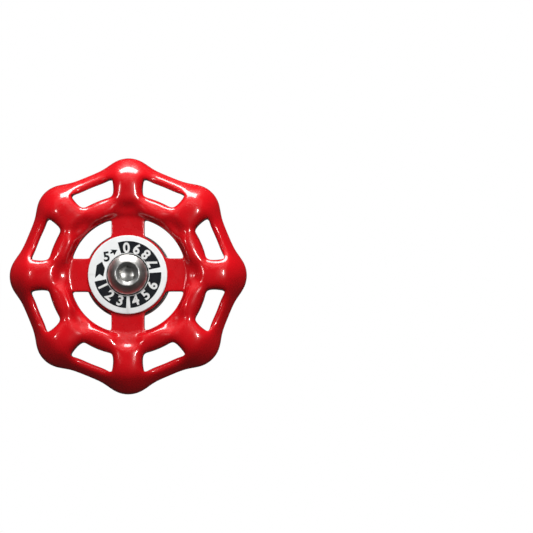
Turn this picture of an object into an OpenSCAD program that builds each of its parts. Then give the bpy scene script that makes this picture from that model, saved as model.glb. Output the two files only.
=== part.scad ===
// Eight-lobed valve handwheel with its nameplate, retaining screw, lock washer and square-drive bush.
// The wheel stands upright: its axis lies along Y, its front looks towards -Y, and the origin is
// the middle of the square socket's mouth, in the plane of the hub's back face.

/* [Rim] */
// Diameter over the tips of the lobes
wheel_d = 63; // [61:0.5:66]
// Thickness of a finger, the round arm between the ring and a lobe
finger_d = 7.5; // [7:0.1:8]
// Radius of a lobe's rounded end, seen from the front
lobe_r = 7.3; // [7:0.1:8]
// Thickness of a lobe, front to back
lobe_h = 7.8; // [7.5:0.1:8.2]
// Thickness of the straight bars that join the lobes
bar_d = 3.2; // [2.8:0.1:3.6]
// Height of the rim's middle plane above the hub's back face
rim_mid = 9.2; // [9:0.1:10]

/* [Ring, spokes and hub] */
// Inner diameter of the ring
ring_in_d = 31.1; // [30:0.1:32]
// Width of the ring, from its inner edge to its outer edge
ring_w = 5.6; // [5:0.1:6]
// Height of the ring, front to back
ring_h = 7.8; // [7:0.1:8.2]
// Width of a spoke
spoke_w = 8.4; // [7:0.1:9]
// Diameter of the cast hub
hub_d = 22; // [21.8:0.1:22.6]
// Thickness of the hub and the spokes
hub_h = 3.1; // [2.8:0.1:3.4]
// Height of the hub's front face above the rim's middle plane
hub_rise = 1.3; // [0.8:0.1:1.8]

/* [Drive bush] */
// Across flats of the square socket for the valve stem
square_af = 9; // [7:0.5:9]
// Depth of the square socket
square_depth = 7.2; // [6:0.1:7.2]
// Diameter of the bush's spigot, pressed into the hub
spigot_d = 14.8; // [14.4:0.1:15]
// Diameter of the bush's flange
flange_d = 22.9; // [22.6:0.1:24]
// Thickness of the bush's flange
flange_h = 2; // [1:0.1:2.2]
// Diameter of the bush's back boss
boss_d = 16.4; // [15:0.1:18]
// Thickness of the web that the screw clamps
web_h = 2; // [1.5:0.1:2.2]

/* [Nameplate] */
// Outer diameter of the nameplate
plate_d = 20.8; // [19:0.1:21]
// Diameter of the nameplate's hole, round the screw's head
plate_hole_d = 11.1; // [11:0.1:12]
// Thickness of the nameplate
plate_h = 0.8; // [0.5:0.1:1]
// Thickness of the adhesive ring under the nameplate
adhesive_h = 0.2; // [0.1:0.05:0.3]

/* [Screw and washer] */
// Length of the screw under its head
screw_length = 8; // [8:1:12]
// Diameter of the button head
head_d = 10.5; // [10:0.1:10.5]
// Height of the button head
head_h = 3.3; // [3:0.1:3.5]
// Across flats of the hexagon socket
hex_af = 4; // [3:0.5:4]
// Outer diameter of the lock washer
washer_d = 9.9; // [9:0.1:9.9]
// Thickness of the lock washer
washer_h = 1.6; // [1.4:0.1:1.7]

/* [Hidden] */
$fn = 96;

lobes = 8;
spokes = 4;
lobe_step = 360 / lobes;
spoke_step = 360 / spokes;

// Rim: a lobe is a short bend of round tube about a point on its finger's centre line
lobe_tube_r = lobe_h / 2;
lobe_bend_r = lobe_r - lobe_tube_r;
lobe_centre = wheel_d / 2 - lobe_r;
lobe_sweep = 64;
lobe_end_r = lobe_tube_r - 0.3;
finger_start = ring_in_d / 2 + 1.5;
bar_at = wheel_d / 2 - 4.35;
bar_half = bar_at * tan(lobe_step / 2) - 1;
flare_start = 3.6;
flare_end_r = 2.7;

// Ring: its section has a round front edge and a round back edge
ring_edge_r = ring_w / 2;
ring_mid_r = ring_in_d / 2 + ring_edge_r;
ring_flat = ring_h - ring_w;

// Hub, heights above the back face
hub_front = rim_mid + hub_rise;
hub_back = hub_front - hub_h;
spoke_out = ring_mid_r - 0.6;
spoke_in = hub_d / 2 - 2;
edge_break = 0.35;

// Bush
flange_back = hub_back - flange_h;
web_front = square_depth + web_h;
screw_hole_d = 6.4;
lead_in = 0.5;

// Screw and washer
thread_d = 6;
washer_hole_d = 6.2;
washer_gap = 0.8;
head_seat = web_front + washer_h;
socket_depth = 2.1;
socket_mouth_d = 6.2;
socket_mouth_h = 0.5;
head_rim_h = 1.65;
crown_centre = (pow(socket_mouth_d / 2, 2) + pow(head_h, 2) - pow(head_d / 2, 2) - pow(head_rim_h, 2))
    / (2 * (head_h - head_rim_h));
crown_r = sqrt(pow(head_d / 2, 2) + pow(head_rim_h - crown_centre, 2));
plate_back = hub_front + adhesive_h;
adhesive_in_d = 15.6;
adhesive_out_d = plate_d - 0.8;

// Stands the wheel up: local +Z, its front, turns to -Y and local +Y turns to +Z
module upright() {
    rotate([90, 0, 0]) children();
}

// Copies its children round the wheel's axis
module around(count, first = 0) {
    for (i = [0 : count - 1]) {
        rotate([0, 0, first + i * 360 / count]) children();
    }
}

module ring() {
    rotate_extrude() {
        translate([ring_mid_r, rim_mid]) {
            translate([0, ring_flat / 2]) circle(r = ring_edge_r);
            translate([0, -ring_flat / 2]) circle(r = ring_edge_r);
            square([ring_w, ring_flat], center = true);
        }
    }
}

module finger() {
    translate([finger_start, 0, rim_mid]) {
        rotate([0, 90, 0]) cylinder(d = finger_d, h = lobe_centre + lobe_bend_r - finger_start);
    }
}

module lobe() {
    translate([lobe_centre, 0, rim_mid]) {
        rotate([0, 0, -lobe_sweep / 2]) {
            rotate_extrude(angle = lobe_sweep) {
                intersection() {
                    translate([lobe_bend_r, 0]) circle(r = lobe_tube_r);
                    translate([0, -lobe_h]) square([2 * lobe_r, 2 * lobe_h]);
                }
            }
        }
        for (side = [-1, 1]) {
            rotate([0, 0, side * lobe_sweep / 2]) translate([lobe_bend_r, 0, 0]) sphere(r = lobe_end_r);
        }
    }
}

// A straight bar, flared towards the lobe at each of its ends
module bar() {
    translate([bar_at, 0, rim_mid]) {
        translate([0, bar_half, 0]) rotate([90, 0, 0]) cylinder(d = bar_d, h = 2 * bar_half);
        for (side = [-1, 1]) {
            translate([0, side * flare_start, 0]) {
                rotate([-side * 90, 0, 0]) {
                    cylinder(r1 = bar_d / 2 - 0.1, r2 = flare_end_r, h = bar_half - flare_start);
                }
            }
        }
    }
}

// A flat spoke with broken edges, its front level with the hub's
module spoke() {
    translate([spoke_in, 0, 0]) {
        rotate([90, 0, 90]) {
            linear_extrude(spoke_out - spoke_in) {
                polygon([
                    [-spoke_w / 2, hub_back], [spoke_w / 2, hub_back],
                    [spoke_w / 2, hub_front - edge_break], [spoke_w / 2 - edge_break, hub_front],
                    [edge_break - spoke_w / 2, hub_front], [-spoke_w / 2, hub_front - edge_break]
                ]);
            }
        }
    }
}

module cast_hub() {
    translate([0, 0, hub_back]) {
        cylinder(d = hub_d, h = hub_h - edge_break);
        cylinder(d = hub_d - 2 * edge_break, h = hub_h);
    }
}

module handwheel() {
    color("crimson") upright() {
        difference() {
            union() {
                ring();
                around(lobes) finger();
                around(lobes) lobe();
                around(lobes, lobe_step / 2) bar();
                around(spokes) spoke();
                cast_hub();
            }
            translate([0, 0, hub_back - 1]) cylinder(d = spigot_d, h = hub_h + 2);
        }
    }
}

module drive_bush() {
    color("dimgray") upright() {
        difference() {
            union() {
                translate([0, 0, lead_in]) cylinder(d = boss_d, h = flange_back - lead_in + 0.1);
                cylinder(d1 = boss_d - 2 * lead_in, d2 = boss_d, h = lead_in);
                translate([0, 0, flange_back]) cylinder(d = flange_d, h = flange_h);
                translate([0, 0, hub_back - 0.1]) cylinder(d = spigot_d, h = web_front - hub_back + 0.1);
            }
            translate([-square_af / 2, -square_af / 2, -1]) cube([square_af, square_af, square_depth + 1]);
            cylinder(d = screw_hole_d, h = web_front + 1);
        }
    }
}

module nameplate() {
    color("whitesmoke") upright() {
        translate([0, 0, plate_back]) {
            difference() {
                cylinder(d = plate_d, h = plate_h);
                translate([0, 0, -1]) cylinder(d = plate_hole_d, h = plate_h + 2);
            }
        }
    }
}

module nameplate_adhesive() {
    color("lightgray") upright() {
        translate([0, 0, hub_front]) {
            difference() {
                cylinder(d = adhesive_out_d, h = adhesive_h);
                translate([0, 0, -1]) cylinder(d = adhesive_in_d, h = adhesive_h + 2);
            }
        }
    }
}

// A ring with one slanting cut through it
module lock_washer() {
    color("silver") upright() {
        translate([0, 0, web_front]) {
            difference() {
                cylinder(d = washer_d, h = washer_h);
                translate([0, 0, -1]) cylinder(d = washer_hole_d, h = washer_h + 2);
                translate([0, 0, washer_h / 2]) {
                    rotate([30, 0, 0]) translate([0, -washer_gap / 2, -washer_h * 2]) {
                        cube([washer_d, washer_gap, washer_h * 4]);
                    }
                }
            }
        }
    }
}

// The head's dome is a slice of a ball on a short straight rim
module button_head() {
    intersection() {
        cylinder(d = head_d, h = head_h);
        translate([0, 0, crown_centre]) sphere(r = crown_r);
    }
}

module cap_screw() {
    color("silver") upright() {
        translate([0, 0, head_seat]) {
            difference() {
                union() {
                    button_head();
                    translate([0, 0, lead_in - screw_length]) cylinder(d = thread_d, h = screw_length);
                    translate([0, 0, -screw_length]) {
                        cylinder(d1 = thread_d - 2 * lead_in, d2 = thread_d, h = lead_in);
                    }
                }
                translate([0, 0, head_h - socket_depth]) {
                    rotate([0, 0, 30]) cylinder(d = hex_af / cos(30), h = socket_depth + 1, $fn = 6);
                }
                translate([0, 0, head_h - socket_mouth_h]) {
                    cylinder(d1 = hex_af - 0.4, d2 = socket_mouth_d, h = socket_mouth_h);
                }
            }
        }
    }
}

handwheel();
drive_bush();
nameplate();
nameplate_adhesive();
lock_washer();
cap_screw();
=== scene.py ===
import math

import bmesh
import bpy
from mathutils import Matrix, Vector


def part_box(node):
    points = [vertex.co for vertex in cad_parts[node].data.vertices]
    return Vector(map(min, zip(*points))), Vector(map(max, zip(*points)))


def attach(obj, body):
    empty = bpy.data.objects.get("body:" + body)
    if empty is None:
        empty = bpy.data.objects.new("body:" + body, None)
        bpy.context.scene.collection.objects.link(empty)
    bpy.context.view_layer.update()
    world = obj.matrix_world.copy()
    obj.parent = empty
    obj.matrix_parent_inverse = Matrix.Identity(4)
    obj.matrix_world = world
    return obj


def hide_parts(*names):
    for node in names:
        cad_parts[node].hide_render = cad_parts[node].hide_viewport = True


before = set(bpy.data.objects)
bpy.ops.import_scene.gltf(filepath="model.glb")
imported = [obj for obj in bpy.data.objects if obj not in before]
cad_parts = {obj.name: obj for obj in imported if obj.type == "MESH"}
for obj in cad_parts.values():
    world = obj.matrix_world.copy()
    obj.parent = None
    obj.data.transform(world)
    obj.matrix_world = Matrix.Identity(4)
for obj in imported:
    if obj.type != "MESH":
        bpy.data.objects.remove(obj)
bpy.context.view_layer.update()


# ---------------------------------------------------------------------------------------------
# The casting: rim, fingers, ring, spokes and hub in one piece of metal, dipped in thick red
# enamel. It is drawn lying on its back, in millimetres, as one flat polar pattern that gets its
# windows, its thickness and then its rounded shape; standing it up turns its front to -Y.
# ---------------------------------------------------------------------------------------------
MM = 0.001
STAND_UP = Matrix.Scale(MM, 4) @ Matrix.Rotation(math.radians(90), 4, "X")


def heights(node):
    """Back and front of a node along the wheel's axis, in millimetres above the hub's back."""
    low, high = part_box(node)
    return -high.y / MM, -low.y / MM


def outer_radius(node):
    low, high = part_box(node)
    return (high.x - low.x) / 2 / MM


def at(radius, degrees, height):
    """The point at a radius, an angle and a height of the wheel while it lies on its back."""
    turn = math.radians(degrees)
    return Vector((radius * math.cos(turn), radius * math.sin(turn), height))


def verts_of(geom):
    return [g for g in geom if isinstance(g, bmesh.types.BMVert)]


def finish_piece(bm, name, body, material, replaces=None, smooth_angle=None):
    """Stands the finished mesh up, gives it its material and hands it to its body."""
    bmesh.ops.transform(bm, matrix=STAND_UP, verts=bm.verts)
    for face in bm.faces:
        face.smooth = True
    mesh = bpy.data.meshes.new(name)
    bm.to_mesh(mesh)
    bm.free()
    if smooth_angle is not None:
        mesh.set_sharp_from_angle(angle=math.radians(smooth_angle))
    piece = bpy.data.objects.new(name, mesh)
    bpy.context.scene.collection.objects.link(piece)
    mesh.materials.append(material)
    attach(piece, body)
    if replaces:
        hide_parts(replaces)
    return piece


def new_material(name, metallic):
    """A Principled material: its tree, its shader, its place coordinates and its plain normal."""
    material = bpy.data.materials.new(name)
    material.use_nodes = True
    tree = material.node_tree
    shader = tree.nodes["Principled BSDF"]
    shader.inputs["Metallic"].default_value = metallic
    where = tree.nodes.new("ShaderNodeTexCoord").outputs["Object"]
    return material, tree, shader, where, tree.nodes.new("ShaderNodeNewGeometry").outputs["Normal"]


def node_group(name, inputs, outputs):
    """A shader group with named sockets: the group, its input node and its output node."""
    group = bpy.data.node_groups.new(name, "ShaderNodeTree")
    for side, sockets in (("INPUT", inputs), ("OUTPUT", outputs)):
        for label, kind in sockets:
            group.interface.new_socket(label, in_out=side, socket_type="NodeSocket" + kind)
    return group, group.nodes.new("NodeGroupInput"), group.nodes.new("NodeGroupOutput")


def make_mottle():
    """Soft patches between two values, for colour and roughness."""
    group, given, made = node_group(
        "mottle", (("Position", "Vector"), ("Scale", "Float"), ("Low", "Float"), ("High", "Float")),
        (("Value", "Float"),),
    )
    patches = group.nodes.new("ShaderNodeTexNoise")
    patches.inputs["Detail"].default_value = 3
    ranger = group.nodes.new("ShaderNodeMapRange")
    ranger.inputs["From Min"].default_value = 0.3
    ranger.inputs["From Max"].default_value = 0.7
    group.links.new(given.outputs["Position"], patches.inputs["Vector"])
    group.links.new(given.outputs["Scale"], patches.inputs["Scale"])
    group.links.new(patches.outputs["Fac"], ranger.inputs["Value"])
    group.links.new(given.outputs["Low"], ranger.inputs["To Min"])
    group.links.new(given.outputs["High"], ranger.inputs["To Max"])
    group.links.new(ranger.outputs["Result"], made.inputs["Value"])
    return group


def make_bumps(name, detail, in_rings=False):
    """Low bumps, Height metres high, laid on Normal; in_rings draws them round the wheel's axis."""
    group, given, made = node_group(
        name, (("Position", "Vector"), ("Scale", "Float"), ("Height", "Float"), ("Normal", "Vector")),
        (("Normal", "Vector"),),
    )
    place = given.outputs["Position"]
    if in_rings:
        flat = group.nodes.new("ShaderNodeVectorMath")
        flat.operation = "MULTIPLY"
        flat.inputs[1].default_value = (1, 0, 1)
        from_axis = group.nodes.new("ShaderNodeVectorMath")
        from_axis.operation = "LENGTH"
        group.links.new(place, flat.inputs[0])
        group.links.new(flat.outputs[0], from_axis.inputs[0])
        place = from_axis.outputs["Value"]
    bumps = group.nodes.new("ShaderNodeTexNoise")
    bumps.inputs["Detail"].default_value = detail
    lift = group.nodes.new("ShaderNodeBump")
    group.links.new(place, bumps.inputs["Vector"])
    group.links.new(given.outputs["Scale"], bumps.inputs["Scale"])
    group.links.new(bumps.outputs["Fac"], lift.inputs["Height"])
    group.links.new(given.outputs["Height"], lift.inputs["Distance"])
    group.links.new(given.outputs["Normal"], lift.inputs["Normal"])
    group.links.new(lift.outputs["Normal"], made.inputs["Normal"])
    return group


def make_edges():
    """Masks of outward edges and of hollows, broken up by fine noise."""
    group, given, made = node_group(
        "edges", (("Position", "Vector"), ("Breakup", "Float")), (("Edge", "Float"), ("Hollow", "Float")),
    )
    shape = group.nodes.new("ShaderNodeNewGeometry")
    chips = group.nodes.new("ShaderNodeTexNoise")
    chips.inputs["Scale"].default_value = 1500
    group.links.new(given.outputs["Position"], chips.inputs["Vector"])
    shift = group.nodes.new("ShaderNodeMath")
    shift.operation = "MULTIPLY_ADD"
    group.links.new(chips.outputs["Fac"], shift.inputs[0])
    group.links.new(given.outputs["Breakup"], shift.inputs[1])
    group.links.new(shape.outputs["Pointiness"], shift.inputs[2])
    for label, low, high in (("Edge", 0.52, 0.60), ("Hollow", 0.50, 0.44)):
        ranger = group.nodes.new("ShaderNodeMapRange")
        ranger.inputs["From Min"].default_value = low
        ranger.inputs["From Max"].default_value = high
        group.links.new(shift.outputs[0], ranger.inputs["Value"])
        group.links.new(ranger.outputs["Result"], made.inputs[label])
    return group


MOTTLE, EDGES = make_mottle(), make_edges()
RELIEF, TURNING = make_bumps("relief", 2), make_bumps("turning", 3, in_rings=True)


def use(tree, group, **sockets):
    """Puts a shared group into a material and sets or links its inputs; gives its outputs."""
    node = tree.nodes.new("ShaderNodeGroup")
    node.node_tree = group
    for label, value in sockets.items():
        if isinstance(value, bpy.types.NodeSocket):
            tree.links.new(value, node.inputs[label])
        else:
            node.inputs[label].default_value = value
    return node.outputs


def blend_colours(tree, mask, first, second):
    """Mixes two colours, each a plain colour or another node's output, by a mask."""
    mixer = tree.nodes.new("ShaderNodeMix")
    mixer.data_type = "RGBA"
    tree.links.new(mask, mixer.inputs["Factor"])
    for socket, colour in ((mixer.inputs[6], first), (mixer.inputs[7], second)):
        if isinstance(colour, tuple):
            socket.default_value = (*colour, 1)
        else:
            tree.links.new(colour, socket)
    return mixer.outputs[2]


def red_enamel():
    """Thick dipped enamel: darker in random patches where it pools thick and paler where it drew thin,
    painted shade in its hollows, a painted highlight on its edges, and a smooth clear skin.
    """
    material, tree, shader, where, plain = new_material("red_enamel", 0.0)
    thick = use(tree, MOTTLE, Position=where, Scale=90, Low=0, High=1)["Value"]
    red = blend_colours(tree, thick, (0.62, 0.003, 0.008), (0.54, 0.002, 0.006))
    edges = use(tree, EDGES, Position=where, Breakup=0.01)
    # Painted shade: the hollows are painted a darker red
    red = blend_colours(tree, edges["Hollow"], red, (0.40, 0.001, 0.004))
    # Painted highlight: the outward edges are painted a paler red
    red = blend_colours(tree, edges["Edge"], red, (0.70, 0.008, 0.012))
    tree.links.new(red, shader.inputs["Base Color"])
    rough = use(tree, MOTTLE, Position=where, Scale=400, Low=0.22, High=0.32)["Value"]
    tree.links.new(rough, shader.inputs["Roughness"])
    flow = use(tree, RELIEF, Position=where, Scale=170, Height=0.00014, Normal=plain)["Normal"]
    peel = use(tree, RELIEF, Position=where, Scale=1400, Height=0.000004, Normal=flow)["Normal"]
    tree.links.new(peel, shader.inputs["Normal"])
    shader.inputs["Coat Weight"].default_value = 1.0
    shader.inputs["Coat Roughness"].default_value = 0.05
    return material


LOBES = 8
COLUMNS_PER_LOBE = 8
COLUMNS = LOBES * COLUMNS_PER_LOBE
LOBE_STEP = 360 / LOBES
COLUMN_STEP = 360 / COLUMNS
# Where the pattern's columns lie, in degrees from the middle of a finger to that of a window
COLUMN_ANGLES = (0, 4.75, 9.5, 14.5, 22.5)
# The columns that the edges of a finger and of a spoke follow
FINGER_COLUMN, SPOKE_COLUMN = 2, 3
# The pattern's rings, from the bore outwards
BORE, HUB_FLAT, HUB_EDGE, SPOKE_IN, SPOKE_OUT, RING_IN, RING_SLOPE, RING_CREST = range(8)
RING_SHOULDER, RING_OUT, FINGER, BAR_IN, BAR_CREST, OUTLINE, RINGS = range(8, 15)
# Its layers; a height in front times the layer is the same height mirrored to the back
FRONT, MIDDLE, BACK = 1, 0, -1

rim_mid = sum(heights("handwheel")) / 2
hub_front = heights("nameplate_adhesive")[0]
hub_thickness = 3.1
hub_back = hub_front - hub_thickness
hub_r = 10.95
bore_r = 7.4
spoke_half = 4.35
edge_break = 0.32
corner_crease = 0.8

# Radius of the pattern's rings up to the ring's inner edge
INNER_RADII = (bore_r, 10.4, hub_r, 12.5, 14.3, 15.45)
# Heights above the rim's middle plane: the hub and the spokes, the ring's inner edge where a
# spoke's side runs into it, and that edge in a window
spoke_front, spoke_back = hub_front - rim_mid, hub_back - rim_mid
SPOKE_HEIGHT = {FRONT: spoke_front, MIDDLE: (spoke_front + spoke_back) / 2, BACK: spoke_back}
SPOKE_SIDE_HEIGHT = {FRONT: spoke_front, MIDDLE: -0.4, BACK: spoke_back}
RING_EDGE_HEIGHT = {FRONT: 1.2, MIDDLE: 0, BACK: -2.0}
# The ring's arched front: radius and height above the rim's middle plane, for columns 0 to 4
RING_FRONT = {
    RING_SLOPE: ((16.4, 2.0), (16.4, 2.1), (16.6, 2.4), (16.2, 3.0), (16.1, 3.1)),
    RING_CREST: ((18.15, 2.15), (18.05, 2.3), (18.0, 3.3), (17.5, 4.0), (17.4, 4.05)),
    RING_SHOULDER: ((19.4, 3.85), (19.5, 3.75), (19.8, 3.7), (20.1, 3.5), (20.1, 3.45)),
}
# Fingers and lobes, columns 0 to 2: distance along the lobe's middle line, half width, height;
# then the same points' distance and half width half way through the casting
FINGER_FRONT = {
    RING_OUT: ((21.6, 0, 3.9), (21.5, 2.45, 3.8), (21.1, 4.1, 2.75)),
    FINGER: ((23.4, 0, 4.05), (23.4, 2.3, 3.9), (23.4, 3.8, 2.7)),
    BAR_IN: ((25.7, 0, 3.9), (25.6, 2.5, 3.7), (25.5, 4.3, 2.3)),
    BAR_CREST: ((27.6, 0, 3.05), (27.3, 2.7, 2.7), (27.0, 4.9, 1.4)),
    OUTLINE: ((30.1, 0, 0.6), (29.5, 3.0, 0.3), (28.5, 5.3, -0.7)),
}
FINGER_WALL = {
    RING_OUT: ((20.3, 3.7),) * 3,
    FINGER: ((23.4, 3.85),) * 3,
    BAR_IN: ((25.95, 4.2),) * 3,
    OUTLINE: ((32.25, 0), (31.6, 3.0), (29.6, 5.4)),
}
# The ring's outer side and the bars at a window: radius and height in front, then radius half
# way through, for columns 3 and 4
WINDOW_FRONT = {
    RING_OUT: (21.1, 1.8), BAR_IN: (25.6, 0.4), BAR_CREST: (26.7, 0.9), OUTLINE: (28.2, -1.2),
}
WINDOW_WALL = {RING_OUT: 21.2, BAR_IN: 25.2, OUTLINE: 28.87}
# How far the silhouette of lobes and bars lies behind the rim's middle plane, and their back edge,
# which on a lobe also lies a little further out
LOBE_DROP, BAR_DROP = 2.2, 2.1
LOBE_BACK, BAR_BACK = 4.0, 2.9
LOBE_BACK_SPREAD = 0.6


def column_place(column):
    """The lobe that a column belongs to, its side of the lobe and its step from the middle."""
    step = column % COLUMNS_PER_LOBE
    if step <= COLUMNS_PER_LOBE // 2:
        return column // COLUMNS_PER_LOBE, 1, step
    return column // COLUMNS_PER_LOBE + 1, -1, COLUMNS_PER_LOBE - step


def has_spoke(lobe):
    return lobe % 2 == 0


def inner_angle(lobe, side, step, radius):
    """Angle of a hub or spoke point; spokes keep one width, and the windows share the rest."""
    edge = math.degrees(math.asin(spoke_half / max(radius, hub_r)))
    from_lobe = COLUMN_ANGLES[step]
    spoke_edge = COLUMN_ANGLES[SPOKE_COLUMN]
    if has_spoke(lobe) and step <= SPOKE_COLUMN:
        return lobe * LOBE_STEP + side * edge * from_lobe / spoke_edge
    # In a window, angles are counted from the lobe in its middle, which has no spoke
    if has_spoke(lobe):
        lobe, side, from_lobe = lobe + side, -side, LOBE_STEP - from_lobe
    return lobe * LOBE_STEP + side * from_lobe * (LOBE_STEP - edge) / (LOBE_STEP - spoke_edge)


def inner_height(ring, lobe, step, layer):
    """Height of a point on the hub, a spoke or the ring's inner edge."""
    if ring < RING_IN or (has_spoke(lobe) and step < SPOKE_COLUMN):
        return SPOKE_HEIGHT[layer]
    if has_spoke(lobe) and step == SPOKE_COLUMN:
        return SPOKE_SIDE_HEIGHT[layer]
    return RING_EDGE_HEIGHT[layer]


def finger_point(ring, step, layer):
    """Radius, sideways angle and height of a point on a finger or a lobe."""
    along, across, height = FINGER_FRONT[ring][step]
    if layer == MIDDLE and ring in FINGER_WALL:
        along, across = FINGER_WALL[ring][step]
    if ring == OUTLINE:
        height = {FRONT: height, MIDDLE: -LOBE_DROP, BACK: -LOBE_BACK}[layer]
        if layer == BACK:
            along += LOBE_BACK_SPREAD
    else:
        height *= layer
    return math.hypot(along, across), math.degrees(math.atan2(across, along)), height


def outer_point(ring, step, layer):
    """Radius, sideways angle and height of a point on the ring, a finger, a lobe or a bar."""
    if ring in RING_FRONT:
        radius, height = RING_FRONT[ring][step]
        return radius, COLUMN_ANGLES[step], height * layer
    if step <= FINGER_COLUMN:
        return finger_point(ring, step, layer)
    radius, height = WINDOW_FRONT[ring]
    if layer == MIDDLE:
        radius = WINDOW_WALL.get(ring, radius)
        height = -BAR_DROP if ring == OUTLINE else 0
    elif layer == BACK:
        height = -BAR_BACK if ring >= BAR_IN else -height
    # The bars are straight, so their radius grows away from the window's middle
    if ring > BAR_IN:
        radius /= math.cos(math.radians(COLUMN_ANGLES[-1] - COLUMN_ANGLES[step]))
    return radius, COLUMN_ANGLES[step], height


def casting_point(ring, column, layer):
    """Where a point of the flat pattern lies on the finished casting."""
    lobe, side, step = column_place(column)
    if ring <= RING_IN:
        radius = INNER_RADII[ring]
        angle = inner_angle(lobe, side, step, radius)
        height = inner_height(ring, lobe, step, layer)
    else:
        radius, sideways, height = outer_point(ring, step, layer)
        angle = lobe * LOBE_STEP + side * sideways
    return at(radius, angle, rim_mid + height)


def pattern_key(vert):
    """Ring, column and layer of a point of the flat pattern, whose rings are 1 mm apart."""
    column = round(math.degrees(math.atan2(vert.co.y, vert.co.x)) / COLUMN_STEP) % COLUMNS
    return round(math.hypot(vert.co.x, vert.co.y)) - 1, column, round(vert.co.z)


def is_window(face):
    """Whether a face of the flat pattern lies between two spokes or between two fingers."""
    ring = min(pattern_key(v)[0] for v in face.verts)
    middle = face.calc_center_median()
    column = math.degrees(math.atan2(middle.y, middle.x)) % 360 / COLUMN_STEP
    from_finger = abs((column + COLUMNS_PER_LOBE / 2) % COLUMNS_PER_LOBE - COLUMNS_PER_LOBE / 2)
    from_spoke = abs((column + COLUMNS_PER_LOBE) % (2 * COLUMNS_PER_LOBE) - COLUMNS_PER_LOBE)
    if HUB_EDGE <= ring < RING_IN:
        return from_spoke > SPOKE_COLUMN
    return RING_OUT <= ring < BAR_IN and from_finger > FINGER_COLUMN


# The flat pattern: rings grown outwards from the bore, cut through at the windows, then drawn up
# into three layers
casting = bmesh.new()
bmesh.ops.create_circle(casting, segments=COLUMNS, radius=1)
edge_loop = casting.edges[:]
for ring in range(1, RINGS):
    grown = bmesh.ops.extrude_edge_only(casting, edges=edge_loop)["geom"]
    edge_loop = [g for g in grown if isinstance(g, bmesh.types.BMEdge)]
    growth = (ring + 1) / ring
    bmesh.ops.scale(casting, vec=(growth, growth, 1), verts=verts_of(grown))
    edge_loop = [e for e in edge_loop if all(round(v.co.length) == ring + 1 for v in e.verts)]
bmesh.ops.delete(casting, geom=[f for f in casting.faces if is_window(f)], context="FACES")
bmesh.ops.translate(casting, vec=(0, 0, BACK), verts=casting.verts)
grown = bmesh.ops.extrude_face_region(casting, geom=casting.faces[:], use_keep_orig=True)["geom"]
bmesh.ops.translate(casting, vec=(0, 0, FRONT - BACK), verts=verts_of(grown))
upright_edges = [e for e in casting.edges if abs(e.verts[0].co.z - e.verts[1].co.z) > 1]
bmesh.ops.subdivide_edges(casting, edges=upright_edges, cuts=1)

keys = {v: pattern_key(v) for v in casting.verts}
# The outer corners of the windows, between a finger and a bar, are tighter than the rest
crease = casting.edges.layers.float.new("crease_edge")
for edge in casting.edges:
    (ring, column, _), other_end = (keys[v] for v in edge.verts)
    upright = (ring, column) == other_end[:2]
    if upright and ring == BAR_IN and column_place(column)[2] == FINGER_COLUMN:
        edge[crease] = corner_crease
for vert, (ring, column, layer) in keys.items():
    vert.co = casting_point(ring, column, layer)
# The flat front and back of the hub and the spokes keep crisp, slightly broken edges
crisp = [
    e for e in casting.edges
    if all(keys[v][0] <= RING_IN and keys[v][2] != MIDDLE for v in e.verts)
    and any(any(keys[v][2] == MIDDLE for v in f.verts) for f in e.link_faces)
]
bmesh.ops.bevel(
    casting, geom=crisp, offset=edge_break, offset_type="OFFSET", affect="EDGES",
    segments=2, profile=0.5, material=-1, clamp_overlap=True,
)
bmesh.ops.recalc_face_normals(casting, faces=casting.faces)
wheel = finish_piece(casting, "wheel_casting", "wheel", red_enamel(), "handwheel")
rounding = wheel.modifiers.new("rounding", "SUBSURF")
rounding.levels = rounding.render_levels = 2


# ---------------------------------------------------------------------------------------------
# The drive bush: a turned steel plug pressed into the hub from behind. Its flange carries the
# hub, its back boss holds the square socket that slips over a valve stem, and its web in front
# has the hole that the screw clamps. It is blackened and a little oily.
# ---------------------------------------------------------------------------------------------
def rounded(corners, steps=3):
    """An outline of (radius, height, easing) corners, in millimetres, with its corners eased."""
    points = []
    for i, (radius, height, ease) in enumerate(corners):
        here = Vector((radius, height))
        before = (Vector(corners[i - 1][:2]) - here).normalized() * ease
        after = (Vector(corners[(i + 1) % len(corners)][:2]) - here).normalized() * ease
        for k in range(steps + 1 if ease else 1):
            points.append(here + before * (1 - k / steps) ** 2 + after * (k / steps) ** 2)
    return points


def spun(corners, closed=True, segments=96):
    """An outline turned once round the wheel's axis."""
    bm = bmesh.new()
    points = [bm.verts.new((p.x, 0, p.y)) for p in rounded(corners)]
    pairs = list(zip(points, points[1:])) + ([(points[-1], points[0])] if closed else [])
    lines = [bm.edges.new(pair) for pair in pairs]
    bmesh.ops.spin(
        bm, geom=points + lines, axis=(0, 0, 1), cent=(0, 0, 0),
        angle=math.tau, steps=segments, use_merge=True,
    )
    bmesh.ops.remove_doubles(bm, verts=bm.verts, dist=0.0005)
    bmesh.ops.recalc_face_normals(bm, faces=bm.faces)
    return bm


def polar(vert):
    """Radius and angle of a point about the wheel's axis, in millimetres and radians."""
    return math.hypot(vert.co.x, vert.co.y), math.atan2(vert.co.y, vert.co.x)


def move_to(vert, radius):
    """Moves a point straight out from the wheel's axis, or in towards it."""
    flat = Vector((vert.co.x, vert.co.y, 0)).normalized() * radius
    vert.co.x, vert.co.y = flat.x, flat.y


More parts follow.
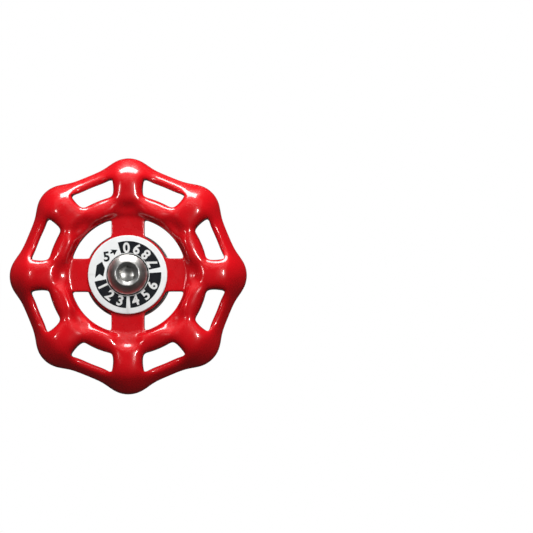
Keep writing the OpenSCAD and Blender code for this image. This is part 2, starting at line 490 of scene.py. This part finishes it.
def blackened_steel():
    """Black oxide on turned steel, oily in patches and worn bright at its edges."""
    material, tree, shader, where, plain = new_material("blackened_steel", 0.85)
    patches = use(tree, MOTTLE, Position=where, Scale=350, Low=0, High=1)["Value"]
    steel = blend_colours(tree, patches, (0.020, 0.020, 0.022), (0.034, 0.032, 0.030))
    worn = use(tree, EDGES, Position=where, Breakup=0.06)["Edge"]
    tree.links.new(blend_colours(tree, worn, steel, (0.40, 0.38, 0.36)), shader.inputs["Base Color"])
    oil = use(tree, MOTTLE, Position=where, Scale=900, Low=0.28, High=0.5)["Value"]
    tree.links.new(oil, shader.inputs["Roughness"])
    cut = use(tree, TURNING, Position=where, Scale=4000, Height=0.000006, Normal=plain)["Normal"]
    grain = use(tree, RELIEF, Position=where, Scale=2500, Height=0.000008, Normal=cut)["Normal"]
    tree.links.new(grain, shader.inputs["Normal"])
    return material


bush_back, bush_front = heights("drive_bush")
flange_r = outer_radius("drive_bush")
flange_thickness = 2
flange_back = hub_back - flange_thickness
boss_r = 8.2
screw_hole_r = 3.2
socket_half, socket_depth, socket_lead_in = 4.5, 7.2, 0.5
# How far a corner of the socket reaches, in half widths: a little less than a sharp corner
socket_corner = 1.37
bush = spun((
    (screw_hole_r, bush_front, 0.25), (screw_hole_r, socket_depth, 0), (socket_half, socket_depth, 0),
    (socket_half, bush_back + socket_lead_in, 0), (socket_half + socket_lead_in, bush_back, 0),
    (boss_r, bush_back, 0.5), (boss_r, flange_back, 0.15), (flange_r, flange_back, 0.3),
    (flange_r, hub_back, 0.3), (bore_r, hub_back, 0), (bore_r, bush_front, 0.3),
))
# The round socket of the turned shape becomes a square one
for vert in bush.verts:
    radius, angle = polar(vert)
    in_socket = socket_half - 0.1 < radius < socket_half + socket_lead_in + 0.1
    if in_socket and vert.co.z <= socket_depth:
        widest = max(abs(math.cos(angle)), abs(math.sin(angle)))
        move_to(vert, radius * min(1 / widest, socket_corner))
finish_piece(
    bush, "drive_bush_turned", "wheel", blackened_steel(), "drive_bush", smooth_angle=32,
)


# ---------------------------------------------------------------------------------------------
# The adhesive ring: thin double-sided film that holds the nameplate on the hub's front face. Its
# outer edge has squeezed out a little unevenly.
# ---------------------------------------------------------------------------------------------
def adhesive_film():
    """Grey film adhesive, cloudy inside and dusty at its open edge."""
    material, tree, shader, where, plain = new_material("adhesive_film", 0.0)
    patches = use(tree, MOTTLE, Position=where, Scale=600, Low=0, High=1)["Value"]
    grey = blend_colours(tree, patches, (0.30, 0.29, 0.27), (0.42, 0.41, 0.38))
    dust = use(tree, EDGES, Position=where, Breakup=0.05)["Edge"]
    tree.links.new(blend_colours(tree, dust, grey, (0.20, 0.18, 0.16)), shader.inputs["Base Color"])
    dull = use(tree, MOTTLE, Position=where, Scale=1500, Low=0.6, High=0.85)["Value"]
    tree.links.new(dull, shader.inputs["Roughness"])
    cells = use(tree, RELIEF, Position=where, Scale=5000, Height=0.00002, Normal=plain)["Normal"]
    tree.links.new(cells, shader.inputs["Normal"])
    return material


glue_back, glue_front = heights("nameplate_adhesive")
glue_r = outer_radius("nameplate_adhesive")
glue_hole_r = 7.8
glue = spun((
    (glue_hole_r, glue_back, 0.06), (glue_hole_r, glue_front, 0.06),
    (glue_r, glue_front, 0.08), (glue_r, glue_back, 0.08),
))
for vert in glue.verts:
    radius, angle = polar(vert)
    if radius > glue_r - 0.1:
        uneven = 0.05 + 0.03 * math.sin(7 * angle) + 0.02 * math.sin(17 * angle + 1)
        move_to(vert, radius - uneven)
finish_piece(
    glue, "adhesive_ring", "wheel", adhesive_film(), "nameplate_adhesive", smooth_angle=40,
)


# ---------------------------------------------------------------------------------------------
# The nameplate: a flat ring of white-coated metal, printed in black with three blocks of white
# figures, a single black one, and a long arrow and a short one that show which way to turn.
# ---------------------------------------------------------------------------------------------
def white_coat():
    """Satin white paint, with painted shade in its hollows and along its edges."""
    material, tree, shader, where, plain = new_material("white_coat", 0.0)
    patches = use(tree, MOTTLE, Position=where, Scale=500, Low=0, High=1)["Value"]
    white = blend_colours(tree, patches, (0.86, 0.87, 0.87), (0.78, 0.80, 0.80))
    edges = use(tree, EDGES, Position=where, Breakup=0.03)
    # Painted shade: the hollows are painted a darker grey
    white = blend_colours(tree, edges["Hollow"], white, (0.45, 0.42, 0.40))
    # Painted shade: the edges are painted a darker white
    tree.links.new(blend_colours(tree, edges["Edge"], white, (0.70, 0.70, 0.69)), shader.inputs["Base Color"])
    satin = use(tree, MOTTLE, Position=where, Scale=1200, Low=0.30, High=0.45)["Value"]
    tree.links.new(satin, shader.inputs["Roughness"])
    grain = use(tree, RELIEF, Position=where, Scale=2600, Height=0.000010, Normal=plain)["Normal"]
    tree.links.new(grain, shader.inputs["Normal"])
    return material


def black_ink():
    """Screen-printed ink, dull and a little uneven."""
    material, tree, shader, where, plain = new_material("black_ink", 0.0)
    thin = use(tree, MOTTLE, Position=where, Scale=1800, Low=0, High=1)["Value"]
    ink_black = blend_colours(tree, thin, (0.004, 0.005, 0.008), (0.010, 0.011, 0.014))
    tree.links.new(ink_black, shader.inputs["Base Color"])
    satin = use(tree, MOTTLE, Position=where, Scale=1200, Low=0.32, High=0.5)["Value"]
    tree.links.new(satin, shader.inputs["Roughness"])
    grain = use(tree, RELIEF, Position=where, Scale=2600, Height=0.000010, Normal=plain)["Normal"]
    tree.links.new(grain, shader.inputs["Normal"])
    shader.inputs["Specular IOR Level"].default_value = 0.25
    return material


def ink_point(bm, radius, degrees):
    return bm.verts.new(at(radius, degrees, plate_front))


def ink_block(bm, inner, outer, start, stop):
    """A block of solid print between two radii and two angles."""
    degrees_per_step = 3
    steps = round((stop - start) / degrees_per_step)
    turns = [start + (stop - start) * i / steps for i in range(steps + 1)]
    near, far = ([ink_point(bm, radius, turn) for turn in turns] for radius in (inner, outer))
    for i in range(steps):
        bm.faces.new((near[i], far[i], far[i + 1], near[i + 1]))


def ink_figure(bm, figure, radius, degrees, size, lean=None):
    """A figure whose top points at the wheel's axis, or else leans left of straight up by lean."""
    curve = bpy.data.curves.new("figure", "FONT")
    curve.body = figure
    curve.size = size
    boldness = 0.032
    curve.offset = boldness * size
    curve.align_x, curve.align_y = "CENTER", "CENTER"
    holder = bpy.data.objects.new("figure", curve)
    flat = bpy.data.meshes.new_from_object(holder)
    bpy.data.objects.remove(holder)
    bpy.data.curves.remove(curve)
    spin = Matrix.Rotation(math.radians(degrees + 90 if lean is None else lean), 4, "Z")
    flat.transform(Matrix.Translation(at(radius, degrees, plate_front)) @ spin)
    bm.from_mesh(flat)
    bpy.data.meshes.remove(flat)


def raise_ink(bm, height):
    """Gives flat print its thickness."""
    bmesh.ops.recalc_face_normals(bm, faces=bm.faces)
    grown = bmesh.ops.extrude_face_region(bm, geom=bm.faces[:], use_keep_orig=True)["geom"]
    bmesh.ops.translate(bm, vec=(0, 0, height), verts=verts_of(grown))
    bmesh.ops.recalc_face_normals(bm, faces=bm.faces)


coat, ink = white_coat(), black_ink()
plate_back, plate_front = heights("nameplate")
plate_r = outer_radius("nameplate")
plate_hole_r = 5.55
plate = spun((
    (plate_hole_r, plate_back, 0.05), (plate_hole_r, plate_front, 0.15),
    (plate_r, plate_front, 0.22), (plate_r, plate_back, 0.08),
))
finish_piece(plate, "nameplate_disc", "wheel", coat, "nameplate", smooth_angle=40)

# The white figures lie on the black blocks, so they stand a little higher
black_height, white_height = 0.02, 0.035
block_in, block_out = 5.75, 8.85
black_print = bmesh.new()
for start, stop in ((12.5, 107), (192, 267.5), (275, 363.75)):
    ink_block(black_print, block_in, block_out, start, stop)
# The long arrow, then the short one: the radius and angle of each of their corners
for outline in (
    ((7.5, 153), (8.5, 163), (8.6, 186), (7.4, 178.7), (6.4, 184.6), (6.15, 165)),
    ((7.08, 112.6), (8.0, 124.2), (7.4, 123.3), (7.4, 129), (7.0, 129), (6.9, 123.3), (6.17, 124.4)),
):
    black_print.faces.new([ink_point(black_print, radius, turn) for radius, turn in outline])
ink_figure(black_print, "5", radius=7.2, degrees=140, size=3.5, lean=8)
raise_ink(black_print, black_height)
finish_piece(black_print, "print_black", "wheel", ink, smooth_angle=30)

white_print = bmesh.new()
for figures, first, step in (("123", 205, 24.5), ("456", 287, 24.5), ("7890", 25, 22.5)):
    for i, figure in enumerate(figures):
        ink_figure(white_print, figure, radius=7.25, degrees=first + i * step, size=3.6)
raise_ink(white_print, white_height)
finish_piece(white_print, "print_white", "wheel", coat, smooth_angle=30)


# ---------------------------------------------------------------------------------------------
# The lock washer: a ring of square spring steel, cut through at a slant and sprung a little out
# of flat. It sits on the bush's web, round the screw and under its head.
# ---------------------------------------------------------------------------------------------
def spring_steel():
    """Bare drawn spring steel, duller in patches."""
    material, tree, shader, where, plain = new_material("spring_steel", 1.0)
    patches = use(tree, MOTTLE, Position=where, Scale=700, Low=0, High=1)["Value"]
    steel = blend_colours(tree, patches, (0.52, 0.52, 0.50), (0.62, 0.60, 0.55))
    worn = use(tree, EDGES, Position=where, Breakup=0.05)["Edge"]
    tree.links.new(blend_colours(tree, worn, steel, (0.75, 0.74, 0.72)), shader.inputs["Base Color"])
    dull = use(tree, MOTTLE, Position=where, Scale=1400, Low=0.24, High=0.38)["Value"]
    tree.links.new(dull, shader.inputs["Roughness"])
    drawn = use(tree, TURNING, Position=where, Scale=6000, Height=0.000005, Normal=plain)["Normal"]
    tree.links.new(drawn, shader.inputs["Normal"])
    return material


washer_back, washer_front = heights("lock_washer")
washer_r = outer_radius("lock_washer")
washer_hole_r, washer_middle_r = 3.1, 4
# How far one end is sprung above the other, half the cut's width in degrees, and its slant
rise, half_gap, cut_slant = 0.2, 6.0, 30
washer_steps = 72
washer = bmesh.new()
outline = rounded((
    (washer_hole_r, washer_back, 0.2), (washer_hole_r, washer_front - rise, 0.2),
    (washer_r, washer_front - rise, 0.2), (washer_r, washer_back, 0.2),
))
section = [washer.verts.new((p.x, 0, p.y)) for p in outline]
to_the_cut = Matrix.Rotation(math.radians(half_gap), 3, "Z")
bmesh.ops.rotate(washer, verts=section, cent=(0, 0, 0), matrix=to_the_cut)
end_face = washer.faces.new(section)
bmesh.ops.spin(
    washer, geom=[end_face, *end_face.edges, *end_face.verts], axis=(0, 0, 1), cent=(0, 0, 0),
    angle=math.radians(360 - 2 * half_gap), steps=washer_steps, dvec=(0, 0, rise / washer_steps),
)
if not any(set(f.verts) == set(section) for f in washer.faces):
    washer.faces.new(section)
for vert in washer.verts:
    angle = math.degrees(polar(vert)[1])
    if abs(angle) < half_gap + 1:
        from_middle = vert.co.z - (washer_back + washer_front) / 2
        slant = from_middle * math.tan(math.radians(cut_slant)) / washer_middle_r
        vert.co = Matrix.Rotation(-slant, 3, "Z") @ vert.co
bmesh.ops.recalc_face_normals(washer, faces=washer.faces)
finish_piece(
    washer, "spring_washer", "washer", spring_steel(), "lock_washer", smooth_angle=35,
)


# ---------------------------------------------------------------------------------------------
# The screw: a stainless button-head socket screw, polished. Its dome has a countersunk mouth, a
# hexagon socket with a drilled bottom and a rolled thread that winds up the shank.
# ---------------------------------------------------------------------------------------------
def stainless():
    """Polished stainless steel, with faint rings and dents, painted shade in its socket and other hollows and
    a painted highlight on its edges.
    """
    material, tree, shader, where, plain = new_material("stainless", 1.0)
    patches = use(tree, MOTTLE, Position=where, Scale=800, Low=0, High=1)["Value"]
    steel = blend_colours(tree, patches, (0.66, 0.65, 0.62), (0.74, 0.73, 0.70))
    edges = use(tree, EDGES, Position=where, Breakup=0.04)
    # Painted shade: the socket and other hollows are painted a dark olive grey
    steel = blend_colours(tree, edges["Hollow"], steel, (0.36, 0.34, 0.29))
    # Painted highlight: the edges are painted a lighter steel
    tree.links.new(blend_colours(tree, edges["Edge"], steel, (0.88, 0.88, 0.87)), shader.inputs["Base Color"])
    polish = use(tree, MOTTLE, Position=where, Scale=1600, Low=0.28, High=0.40)["Value"]
    tree.links.new(polish, shader.inputs["Roughness"])
    rings = use(tree, TURNING, Position=where, Scale=5000, Height=0.000005, Normal=plain)["Normal"]
    dents = use(tree, RELIEF, Position=where, Scale=500, Height=0.000012, Normal=rings)["Normal"]
    tree.links.new(dents, shader.inputs["Normal"])
    return material


shank_end, head_top = heights("cap_screw")
head_r = outer_radius("cap_screw")
head_seat = washer_front
head_rim = 1.65
crown_edge = head_seat + head_rim
mouth_r, mouth_slope = 3.1, 0.63
hex_half, hex_depth = 2.0, 2.1
drill_r, drill_depth = 1.6, 0.45
# How deep the mouth goes, how long the plain neck under the head is, and the tip's chamfer
mouth_depth, neck, tip = 0.6, 0.8, 0.4
core_r, thread_r, pitch = 2.4, 3.0, 1.0
# The crown is an arc from the head's rim to the socket's mouth, centred on the screw's axis
crown_centre = (mouth_r ** 2 + head_top ** 2 - head_r ** 2 - crown_edge ** 2) / (2 * (head_top - crown_edge))
crown_r = math.hypot(head_r, crown_edge - crown_centre)
crown_steps = 12
crown = []
for i in range(1, crown_steps):
    radius = mouth_r + (head_r - mouth_r) * i / crown_steps
    crown.append((radius, crown_centre + math.sqrt(crown_r ** 2 - radius ** 2), 0))
socket_floor = head_top - hex_depth
screw = spun((
    (0, socket_floor - drill_depth, 0), (drill_r - 0.3, socket_floor - 0.1, 0.1),
    (drill_r, socket_floor, 0.1), (hex_half, socket_floor, 0), (hex_half, head_top - mouth_depth, 0),
    (mouth_r, head_top, 0.15), *crown, (head_r, crown_edge, 0.15), (head_r, head_seat, 0.1),
    (thread_r, head_seat, 0.2), (core_r, head_seat - neck, 0), (core_r, shank_end + tip, 0),
    (core_r - tip, shank_end, 0.1), (0, shank_end, 0),
), closed=False)
# The round socket of the turned shape becomes a hexagon, whose corners run out in the mouth
for vert in screw.verts:
    radius, angle = polar(vert)
    if abs(radius - hex_half) < 0.01 and vert.co.z > socket_floor - 0.01:
        from_flat = (angle + math.pi / 6) % (math.pi / 3) - math.pi / 6
        move_to(vert, hex_half / math.cos(from_flat))
        if vert.co.z > socket_floor + 0.1:
            vert.co.z = head_top - (mouth_r - polar(vert)[0]) * mouth_slope

# The thread: one ridge's outline, as radius and share of the pitch, wound up the shank
thread_turns, steps_per_turn = int((head_seat - neck - shank_end - pitch) / pitch), 32
thread_start = shank_end + 0.2
ridge = (
    (core_r, 0), (thread_r - 0.05, 0.38), (thread_r, 0.44),
    (thread_r, 0.50), (thread_r - 0.05, 0.56), (core_r, 0.94),
)
points = [screw.verts.new((radius, 0, thread_start + share * pitch)) for radius, share in ridge]
lines = [screw.edges.new(pair) for pair in zip(points, points[1:])]
before = set(screw.faces)
bmesh.ops.spin(
    screw, geom=points + lines, axis=(0, 0, 1), cent=(0, 0, 0), angle=math.tau * thread_turns,
    steps=thread_turns * steps_per_turn, dvec=(0, 0, pitch / steps_per_turn),
)
thread = [f for f in screw.faces if f not in before]
screw.normal_update()
outward = sum(f.normal.dot(Vector((*f.calc_center_median()[:2], 0))) for f in thread)
if outward < 0:
    bmesh.ops.reverse_faces(screw, faces=thread)
finish_piece(screw, "button_screw", "screw", stainless(), "cap_screw", smooth_angle=32)


# ---------------------------------------------------------------------------------------------
# The studio: a pale floor well below the wheel, a white surround that only the camera sees, a
# softbox overhead, a broad faint glow in front of it, a narrow lamp on each side of the camera,
# and a soft fill from the front and from behind.
# ---------------------------------------------------------------------------------------------
wheel_middle = Vector((0, -rim_mid * MM, 0))
floor_radius, floor_height = 0.5, -0.14

floor_mesh = bpy.data.meshes.new("floor")
disc = bmesh.new()
bmesh.ops.create_circle(disc, cap_ends=True, segments=64, radius=floor_radius)
bmesh.ops.translate(disc, vec=(0, 0, floor_height), verts=disc.verts)
disc.to_mesh(floor_mesh)
disc.free()
floor = bpy.data.objects.new("floor", floor_mesh)
bpy.context.scene.collection.objects.link(floor)
pale = bpy.data.materials.new("pale_floor")
pale.use_nodes = True
paint = pale.node_tree.nodes["Principled BSDF"]
paint.inputs["Base Color"].default_value = (0.9, 0.9, 0.9, 1)
paint.inputs["Roughness"].default_value = 0.8
paint.inputs["Emission Color"].default_value = (1, 1, 1, 1)
paint.inputs["Emission Strength"].default_value = 0.9
floor_mesh.materials.append(pale)
floor.visible_glossy = False
floor.visible_diffuse = False

world = bpy.data.worlds.new("studio")
bpy.context.scene.world = world
world.use_nodes = True
air = world.node_tree
background = air.nodes["Background"]
ray = air.nodes.new("ShaderNodeLightPath")
tint = air.nodes.new("ShaderNodeMix")
tint.data_type = "RGBA"
tint.inputs[6].default_value = (0.03, 0.03, 0.03, 1)
tint.inputs[7].default_value = (1, 1, 1, 1)
air.links.new(ray.outputs["Is Camera Ray"], tint.inputs["Factor"])
air.links.new(tint.outputs[2], background.inputs["Color"])
background.inputs["Strength"].default_value = 1.0


def away_from_wheel(azimuth, elevation):
    """Direction from the wheel; azimuth 0 is straight in front of it, 90 to its right."""
    turn, lift = math.radians(azimuth), math.radians(elevation)
    return Vector((math.sin(turn) * math.cos(lift), -math.cos(turn) * math.cos(lift), math.sin(lift)))


def softbox(name, azimuth, elevation, distance, width, height, power):
    """An area lamp that looks at the wheel."""
    away = away_from_wheel(azimuth, elevation)
    lamp = bpy.data.lights.new(name, "AREA")
    lamp.shape = "RECTANGLE"
    lamp.size, lamp.size_y = width, height
    lamp.energy = power
    holder = bpy.data.objects.new(name, lamp)
    bpy.context.scene.collection.objects.link(holder)
    holder.location = wheel_middle + away * distance
    holder.rotation_euler = (-away).to_track_quat("-Z", "Y").to_euler()
    holder.visible_camera = False
    return holder


# Azimuth and elevation in degrees, distance, width and height in metres, power in watts
softbox("softbox_above", 0, 84, 0.6, 0.5, 0.24, 4.6)
softbox("glow_above", 0, 58, 0.8, 1.5, 0.7, 0.75)
softbox("lamp_right", 24, 8.5, 0.7, 0.05, 0.12, 1.2)
softbox("lamp_left", -35, 8.5, 0.7, 0.05, 0.10, 0.4)
softbox("fill_front", 5, 40, 0.9, 0.6, 0.5, 7.2).visible_glossy = False
softbox("fill_back", 180, 35, 0.9, 0.6, 0.5, 5.0).visible_glossy = False

# The camera looks a little up and a little from the right. Its view is 141 mm wide at the wheel,
# and it is turned so that the wheel sits left of the middle and a little low.
CAMERA_DISTANCE = 0.45
CAMERA_AZIMUTH, CAMERA_ELEVATION = 3.0, -4.3
VIEW_WIDTH, WHEEL_LEFT, WHEEL_LOW = 0.1413, 0.0367, 0.0023
away = away_from_wheel(CAMERA_AZIMUTH, CAMERA_ELEVATION)
camera_data = bpy.data.cameras.new("camera")
camera_data.sensor_width = 36
camera_data.lens = camera_data.sensor_width * CAMERA_DISTANCE / VIEW_WIDTH
camera_data.clip_start = 0.01
camera = bpy.data.objects.new("camera", camera_data)
bpy.context.scene.collection.objects.link(camera)
camera.location = wheel_middle + away * CAMERA_DISTANCE
aim = (-away).to_track_quat("-Z", "Y")
pan = Matrix.Rotation(-math.atan(WHEEL_LEFT / CAMERA_DISTANCE), 3, "Y").to_quaternion()
nod = Matrix.Rotation(math.atan(WHEEL_LOW / CAMERA_DISTANCE), 3, "X").to_quaternion()
camera.rotation_mode = "QUATERNION"
camera.rotation_quaternion = aim @ pan @ nod
bpy.context.scene.camera = camera
bpy.context.scene.view_settings.view_transform = "Standard"
